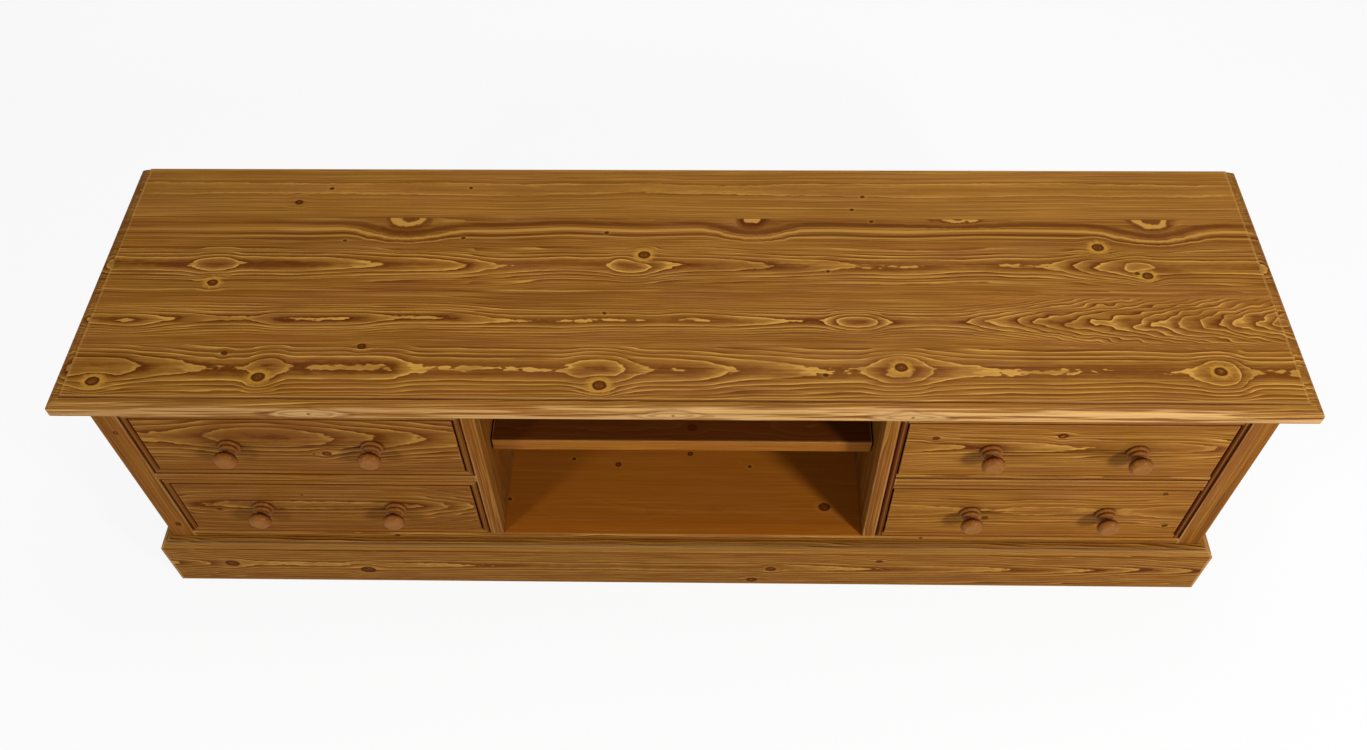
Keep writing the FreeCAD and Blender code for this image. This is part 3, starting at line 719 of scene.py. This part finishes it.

# The other boards. A heart is counted from the middle of the board's width.
# Lines along the plinth's moulding: a dark one at its foot, and a pale band and line along its crown that
# are painted highlight
plinthLines = [(95.0, 2.0, "dark", 0.75), (99.5, 3.0, "light", 0.35), (102.4, 1.2, "paleWearAndHighlight", 0.5)]
straight = {"depth": 30.0, "ringWidth": 3.4, "wander": 4.0, "sway": 1.0, "swayLength": 260.0,
            "contrast": 0.55, "lines": 0.4}
plain = {**straight, "contrast": 0.4}
boardPlans = {
    "plinth_front": {"axes": "xzy", "side": "low", "habit": {"deepen": 0.23}, "haloShare": 0.15,
                     "edgeLines": plinthLines, "boards": [
        {"heart": 52.0, "depth": 24.0, "lines": 0.75, "contrast": 1.8, "figure": [
            (-791, -1.2), (-740, -0.3), (-690, 0.6), (-560, 0.8), (-420, 0.7), (-260, 1.2), (-100, 1.4),
            (60, 1.3), (200, 1.6), (300, 2.1), (420, 2.5), (520, 3.1), (620, 4.0), (700, 5.0),
            (791, 6.2)]}],
                     "knots": [(-695, 52, 8.0), (-488, 35, 8.5), (135, 48, 6.0),
                               (107, 13, 6.0), (298, 75, 4.0)]},
    "plinth_left": {"axes": "yzx", "side": "low", "heart": 12.0, "habit": {"contrast": 0.8},
                    "edgeLines": plinthLines,
                    "knots": [(40, 60, 6.0)]},
    "plinth_right": {"axes": "yzx", "side": "high", "heart": -14.0, "habit": {"contrast": 0.8},
                     "edgeLines": plinthLines,
                     "knots": [(-60, 40, 7.0), (150, 66, 2.6)]},
    # The left stiles and drawer rail are deepened more than the right ones: partly their own tone, partly
    # painted shade for the weaker light on the left
    "stile_outer_left": {"axes": "zxy", "side": "low", "heart": 30.0, "habit": {**plain, "deepen": 0.2},
                         "knots": [(381, -754, 3.0), (140, -754, 3.8)]},
    "stile_outer_right": {"axes": "zxy", "side": "low", "heart": -34.0,
                          "habit": {**plain, "contrast": 0.25, "deepen": 0.16}},
    "stile_inner_left": {"axes": "zxy", "side": "low", "heart": 16.0, "habit": {**plain, "deepen": 0.2}},
    "stile_inner_right": {"axes": "zxy", "side": "low", "heart": -20.0, "habit": {**plain, "deepen": 0.1}},
    "top_rail": {"axes": "xzy", "side": "low", "heart": 24.0, "habit": straight},
    "bottom_rail": {"axes": "xzy", "side": "low", "heart": 34.0, "above": ("amber", 0.75),
                    "habit": {**straight, "contrast": 1.1, "lines": 0.8, "deepen": 0.24},
                    "knots": [(-430, 112, 3.0), (356, 116, 2.6)]},
    "drawer_rail_left": {"axes": "xzy", "side": "low", "heart": 16.0, "habit": {**straight, "deepen": 0.25}},
    "drawer_rail_right": {"axes": "xzy", "side": "low", "heart": -15.0, "habit": straight},
    "beading_upper_left": {"axes": "xzy", "side": "low", "heart": 30.0, "habit": plain,
                           "through": False, "stainUpright": 0.6},
    "beading_lower_left": {"axes": "xzy", "side": "low", "heart": 30.0, "habit": plain,
                           "through": False, "stainUpright": 0.6},
    "beading_right": {"axes": "xzy", "side": "low", "heart": 30.0, "habit": plain,
                      "through": True, "stainUpright": 0.92},
    "bottom_panel": {"axes": "xyz", "side": "high", "boardWidth": 92.0, "boardStart": -192.0,
                     "haloShare": 0.1, "tint": ("amber", 0.6),
                     "habit": {"contrast": 0.12, "lines": 0.8, "tone": 0.4, "depth": 40.0, "deepen": 0.06},
                     "knots": [(-172, -52, 2.6), (-102, -62, 3.6), (10, -41, 3.2),
                               (103, -64, 2.6), (215, -136, 6.4), (-265, -126, 2.8),
                               (-430, 58, 6.0), (520, 18, 6.0)]},
    # The shelf's upward face is darkened as painted shadow under the top
    "shelf": {"axes": "xyz", "side": "high", "boardWidth": 118.0, "boardStart": -142.0,
              "above": ("stain", 0.85), "tint": ("amber", 0.25), "habit": {"contrast": 0.4, "lines": 0.6},
              "knots": [(15, -118, 5.0), (-150, 78, 5.0)]},
    # The partitions are deepened all over as painted shade, for their inner faces in the shade of the bay
    "partition_left": {"axes": "zyx", "side": "high", "boardWidth": 96.0, "boardStart": -167.0,
                       "habit": {"contrast": 0.4, "deepen": 0.55}, "knots": [(300, -60, 5.0)]},
    "partition_right": {"axes": "zyx", "side": "low", "boardWidth": 96.0, "boardStart": -167.0,
                        "habit": {"contrast": 0.4, "deepen": 0.5}, "knots": [(210, 20, 6.0)]},
    "side_left": {"axes": "zyx", "side": "low", "boardWidth": 98.0, "boardStart": -166.5,
                  "knots": [(330, -96, 8.0), (190, 12, 7.0), (405, 98, 6.0),
                            (262, 170, 3.0), (128, -140, 3.0)]},
    "side_right": {"axes": "zyx", "side": "high", "boardWidth": 98.0, "boardStart": -166.5,
                   "knots": [(280, -110, 7.0), (392, 4, 8.0), (170, 76, 6.5),
                             (348, 160, 3.0)]},
    "back_boards": {"axes": "zxy", "side": "high", "boardWidth": 1526.0 / 15, "boardStart": -763.0,
                    "habit": {"tone": 0.9, "depth": 22.0}, "knots": [
                        (360, -700, 8.0), (150, -602, 7.0), (300, -500, 9.0),
                        (402, -404, 6.0), (120, -300, 7.0), (260, -206, 8.0),
                        (350, -96, 7.0), (240, 6, 8.5), (400, 104, 6.0), (160, 206, 8.0),
                        (320, 302, 7.5), (90, 410, 6.5), (380, 508, 8.0), (210, 604, 7.0),
                        (300, 706, 8.5)]},
    "rear_top_rail": {"axes": "xzy", "side": "high", "heart": 10.0},
    "rear_foot_rail": {"axes": "xzy", "side": "high", "heart": -12.0, "knots": [(-320, 60, 7.0)]},
    "glue_blocks": {"axes": "xyz", "side": "low", "boardWidth": 90.0, "boardStart": -700.0},
    "drawer_bearers": {"axes": "yxz", "side": "high", "heart": 40.0, "habit": straight},
    "drawer_guides": {"axes": "yxz", "side": "high", "heart": 40.0, "habit": straight},
}
knobHabit = {"depth": 30.0, "ringWidth": 2.6, "wander": 0.0, "sway": 0.5, "swayLength": 60.0,
             "ragged": 0.4, "contrast": 0.35}
drawerHabits = {
    "front": frontHabit,
    "side_left": {**straight, "contrast": 0.9},
    "side_right": {**straight, "contrast": 0.9},
    "back": {"contrast": 0.9},
    "knob_left": knobHabit,
    "knob_right": knobHabit,
}
drawerAxes = {
    "front": ("xzy", "low"), "side_left": ("yzx", "low"), "side_right": ("yzx", "high"),
    "back": ("xzy", "high"), "knob_left": ("yxz", "high"), "knob_right": ("yxz", "high"),
}
looks = {"waxed_pine": waxedPine, "plain_pine": plainPine, "knob_wood": knobWood}
# Looks that replace the slot's for nodes with these words in their names
ownLooks = {"beading": beadWood, "bottom_panel": floorWood,
            "left_front": frontWood, "right_front": frontWood}
# How far a heart may lie from the middle of a drawer's board or of a knob
heartPlaces = {"board": (-40, 40), "knob": (14, 30)}
# Turned grooves: how far before a knob's foot, half their width and their share of darkening, which is
# partly stain and partly painted shade, most of all on the back of the head
knobGrooves = [(18.5, 6.0, 0.95), (5.6, 1.3, 0.85)]


def planFor(name, seed):
    # A node's wood plan with the place of its face, from the box that holds the node
    low, high = [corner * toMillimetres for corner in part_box(name)]
    draw = random.Random(seed)
    drawer = next((key for key in frontPlans if name.startswith("drawer_" + key + "_")), None)
    if name == "top_panel":
        plan = dict(topPlan)
    elif drawer:
        part = name[len("drawer_" + drawer + "_"):]
        axes, side = drawerAxes[part]
        plan = {"axes": axes, "side": side, "habit": drawerHabits[part],
                "heart": draw.uniform(*heartPlaces["board"])}
        if part == "front":
            plan.update(frontPlans[drawer])
        if part.startswith("knob"):
            plan["heart"] = draw.choice((-1, 1)) * draw.uniform(*heartPlaces["knob"])
            plan["grooves"] = [(high.y - before, half, share) for before, half, share in knobGrooves]
    else:
        plan = dict(boardPlans[name])
    acrossAxis, intoAxis = ["xyz".index(axis) for axis in plan["axes"][1:]]
    plan["face"] = low[intoAxis] if plan["side"] == "low" else high[intoAxis]
    plan["inward"] = 1.0 if plan["side"] == "low" else -1.0
    plan["seed"] = seed
    if "mould" in plan:
        plan["mould"] = {**plan["mould"], "edge": {"x": high.x, "y": low.y}}
    if "heart" in plan:
        plan["heart"] += (low[acrossAxis] + high[acrossAxis]) / 2
    if name.startswith("beading"):
        middle = (low + high) / 2
        plan["turnAt"] = {"middle": middle.x, "half": (high.x - low.x) / 2,
                          "height": middle.z, "halfHeight": (high.z - low.z) / 2}
    return plan


# Planed boards have slightly rounded arrises. Widths are for each slot, in metres.
easing = {
    "widths": {"waxed_pine": 0.0008, "plain_pine": 0.0005},
    "segments": 2,
    "angle": 35,            # degrees that two faces turn at an arris
    "weldReach": 0.00001,   # joins the corners that CAD faces share
}


def easeEdges(node, width):
    weld = node.modifiers.new("Weld", "WELD")
    weld.merge_threshold = easing["weldReach"]
    bevel = node.modifiers.new("Eased edges", "BEVEL")
    bevel.width = width
    bevel.segments = easing["segments"]
    bevel.limit_method = "ANGLE"
    bevel.angle_limit = math.radians(easing["angle"])
    bevel.harden_normals = True


slotOf = {item["node"]: item["material_slot"] for item in frame["record"]["subparts"]}
for seed, name in enumerate(sorted(frame["nodes"]), 1):
    node = frame["nodes"][name]
    slot = slotOf[name]
    if slot in metals:
        material = makeMetal(name + "_metal", metals[slot])
    elif slot == "drawer_plywood":
        material = makePlywood(name + "_plywood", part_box(name)[0].z)
    else:
        look = next((own for word, own in ownLooks.items() if word in name), looks[slot])
        material = makeWood(name + "_wood", look, planFor(name, seed))
    node.data.materials.clear()
    node.data.materials.append(material)
    if slot in easing["widths"]:
        easeEdges(node, easing["widths"][slot])
print("wood, plywood and metal finished")


# Camera, lights and floor
cameraSetup = {
    "place": (0.0337, -1.0794, 1.6967),
    "turn": (37.115, 0.655, 0.897),
    "focalPixels": 1199.6,
    "imageWidth": 1367.0,
    "sensor": 36.0,
    "near": 0.05,
    "far": 60.0,
}


def makeCamera():
    data = bpy.data.cameras.new("Camera")
    data.sensor_width = cameraSetup["sensor"]
    data.lens = cameraSetup["focalPixels"] / cameraSetup["imageWidth"] * cameraSetup["sensor"]
    data.clip_start = cameraSetup["near"]
    data.clip_end = cameraSetup["far"]
    camera = bpy.data.objects.new("Camera", data)
    camera.location = cameraSetup["place"]
    camera.rotation_euler = Euler([math.radians(angle) for angle in cameraSetup["turn"]], "XYZ")
    bpy.context.scene.collection.objects.link(camera)
    bpy.context.scene.camera = camera


lampSetup = {
    "left": {"place": (-1.8, -1.9, 1.65), "size": 0.45, "power": 19.5},
    "right": {"place": (1.8, -1.9, 1.65), "size": 0.45, "power": 53.0},
    "above": {"place": (0.6, 0.6, 2.8), "size": 2.0, "power": 34.0},
    "aim": (0, 0, 0.3),
    "sky": 0.16,
}


def makeLights():
    for name in ("left", "right", "above"):
        setup = lampSetup[name]
        data = bpy.data.lights.new("Lamp_" + name, "AREA")
        data.shape = "DISK"
        data.size = setup["size"]
        data.energy = setup["power"]
        lamp = bpy.data.objects.new("Lamp_" + name, data)
        lamp.location = setup["place"]
        lamp.visible_camera = False
        aim = Vector(lampSetup["aim"]) - lamp.location
        lamp.rotation_euler = aim.to_track_quat("-Z", "Y").to_euler()
        bpy.context.scene.collection.objects.link(lamp)
    world = bpy.data.worlds.new("Studio")
    world.use_nodes = True
    world.node_tree.nodes.clear()
    start = Wire(world.node_tree)
    seen = start.node("LightPath", {}, {}).output("Is Camera Ray")
    sky = start.node("Background", {}, {"Color": (1, 1, 1, 1), "Strength": seen * (1 - lampSetup["sky"])
                                        + lampSetup["sky"]})
    start.node("OutputWorld", {}, {"Surface": sky})
    bpy.context.scene.world = world


floorSetup = {"half": 30.0, "drop": 0.0002, "paper": 0.85, "glow": 0.9}


def makeFloor():
    half, drop = floorSetup["half"], floorSetup["drop"]
    mesh = bpy.data.meshes.new("Floor")
    corners = [(-half, -half, -drop), (half, -half, -drop), (half, half, -drop), (-half, half, -drop)]
    mesh.from_pydata(corners, [], [(0, 1, 2, 3)])
    floor = bpy.data.objects.new("Floor", mesh)
    bpy.context.scene.collection.objects.link(floor)
    material, start = startMaterial("FloorPaper")
    path = start.node("LightPath", {}, {})
    seen = (path.output("Is Camera Ray") + path.output("Is Glossy Ray")
            + path.output("Is Transmission Ray")).least(1.0)
    paper = start.node("BsdfDiffuse", {}, {"Color": (*[floorSetup["paper"]] * 3, 1)})
    glow = start.node("Emission", {}, {"Color": (1, 1, 1, 1), "Strength": 1.0})
    both = start.node("MixShader", {}, {0: seen * floorSetup["glow"], 1: paper, 2: glow})
    start.node("OutputMaterial", {}, {"Surface": both})
    mesh.materials.append(material)


makeCamera()
makeLights()
makeFloor()
bpy.context.scene.view_settings.view_transform = "Standard"
print("camera, lamps and floor made")
